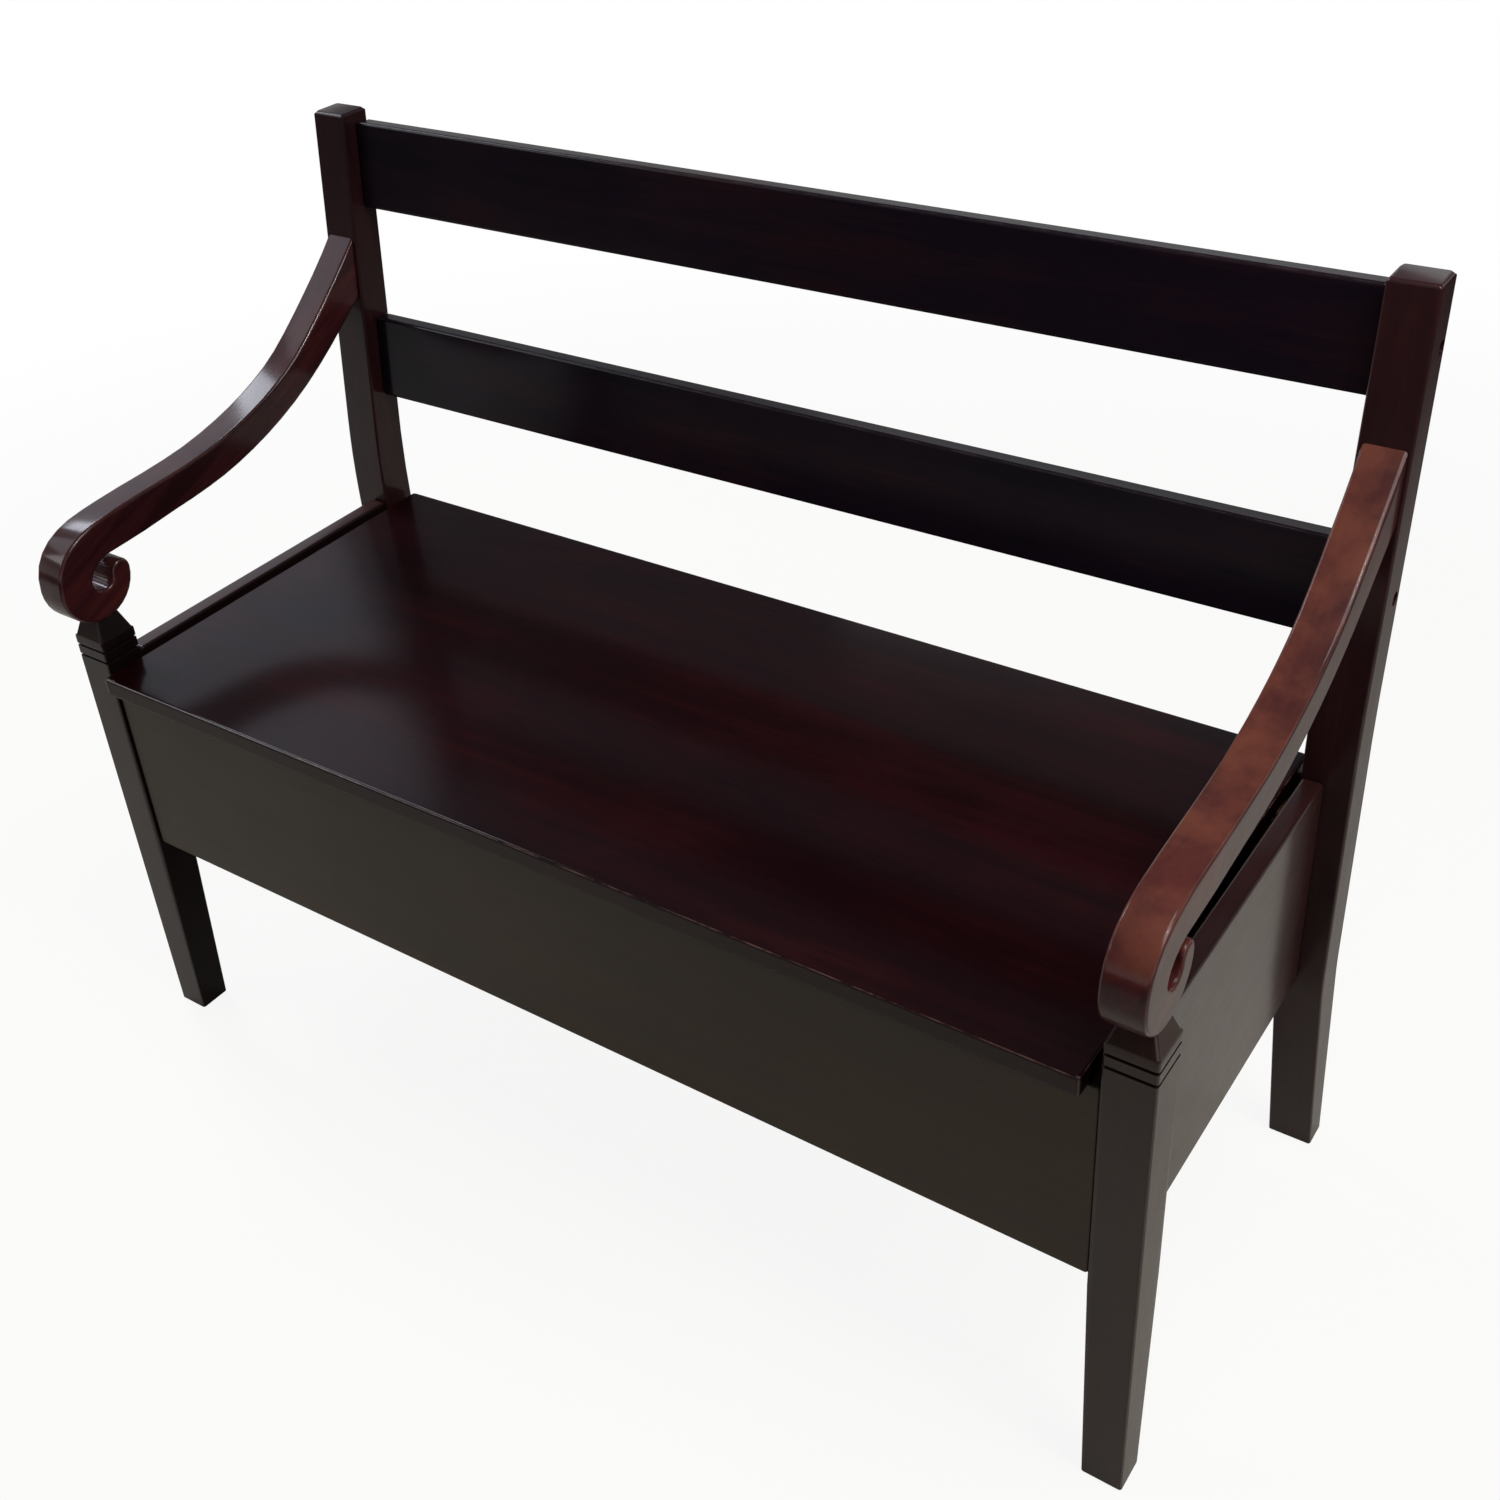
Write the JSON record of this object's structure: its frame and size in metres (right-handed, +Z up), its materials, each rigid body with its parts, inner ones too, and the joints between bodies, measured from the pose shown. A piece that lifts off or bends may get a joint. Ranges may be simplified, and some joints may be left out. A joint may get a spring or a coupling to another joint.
{
  "type": "deacons bench",
  "caption": "Storage bench with a lift-up lid seat, two-rail leaning back, scrolled arms, reeded front legs and kicked-back rear posts.",
  "frame": {"origin": "on the floor, under the middle of the bench's overall length and depth", "axes": "+X along the bench to the right as seen from the front, +Y to the back, +Z up"},
  "size_m": [1.168, 0.503, 0.904],
  "materials": {
    "frame_wood": "semi-gloss dark espresso lacquer over red-brown stain",
    "arm_wood": "semi-gloss red-brown lacquer, lighter on worn top edges",
    "rail_wood": "semi-gloss near-black espresso lacquer",
    "panel_wood": "satin dark espresso lacquer",
    "lid_wood": "semi-gloss dark lacquer with deep red showing",
    "inner_wood": "bare pine and plywood",
    "bolt_steel": "black oxide steel",
    "hinge_steel": "dull plated steel"
  },
  "bodies": {
    "bench": {"front_leg_left": "frame_wood", "rear_post_left": "frame_wood", "arm_left": "arm_wood", "arm_dowel_left": "inner_wood", "arm_bolt_left": "bolt_steel", "end_panel_left": "panel_wood", "cleat_left": "inner_wood", "corner_block_front_left": "inner_wood", "corner_bolt_front_left_lower": "bolt_steel", "corner_bolt_front_left_upper": "bolt_steel", "corner_block_rear_left": "inner_wood", "corner_bolt_rear_left_lower": "bolt_steel", "corner_bolt_rear_left_upper": "bolt_steel", "top_rail_bolt_left": "bolt_steel", "top_rail_nut_left": "bolt_steel", "top_rail_dowel_lower_left": "inner_wood", "top_rail_dowel_upper_left": "inner_wood", "middle_rail_bolt_left": "bolt_steel", "middle_rail_nut_left": "bolt_steel", "middle_rail_dowel_lower_left": "inner_wood", "middle_rail_dowel_upper_left": "inner_wood", "front_leg_right": "frame_wood", "rear_post_right": "frame_wood", "arm_right": "arm_wood", "arm_dowel_right": "inner_wood", "arm_bolt_right": "bolt_steel", "end_panel_right": "panel_wood", "cleat_right": "inner_wood", "corner_block_front_right": "inner_wood", "corner_bolt_front_right_lower": "bolt_steel", "corner_bolt_front_right_upper": "bolt_steel", "corner_block_rear_right": "inner_wood", "corner_bolt_rear_right_lower": "bolt_steel", "corner_bolt_rear_right_upper": "bolt_steel", "top_rail_bolt_right": "bolt_steel", "top_rail_nut_right": "bolt_steel", "top_rail_dowel_lower_right": "inner_wood", "top_rail_dowel_upper_right": "inner_wood", "middle_rail_bolt_right": "bolt_steel", "middle_rail_nut_right": "bolt_steel", "middle_rail_dowel_lower_right": "inner_wood", "middle_rail_dowel_upper_right": "inner_wood", "top_rail": "rail_wood", "middle_rail": "rail_wood", "front_panel": "panel_wood", "rear_panel": "panel_wood", "bottom_panel": "inner_wood", "cleat_front": "inner_wood", "cleat_rear": "inner_wood", "hinge_left_fixed_leaf": "hinge_steel", "hinge_left_pin": "hinge_steel", "hinge_middle_fixed_leaf": "hinge_steel", "hinge_middle_pin": "hinge_steel", "hinge_right_fixed_leaf": "hinge_steel", "hinge_right_pin": "hinge_steel"},
    "lid": {"seat_lid": "lid_wood", "hinge_left_lid_leaf": "hinge_steel", "hinge_middle_lid_leaf": "hinge_steel", "hinge_right_lid_leaf": "hinge_steel"}
  },
  "joints": [
    {"name": "lid_hinge", "type": "hinge", "parent": "bench", "child": "lid", "pos_m": [0, 0.21983, 0.4464], "axis": [-1, 0, 0], "range_deg": [0, 74]}
  ]
}
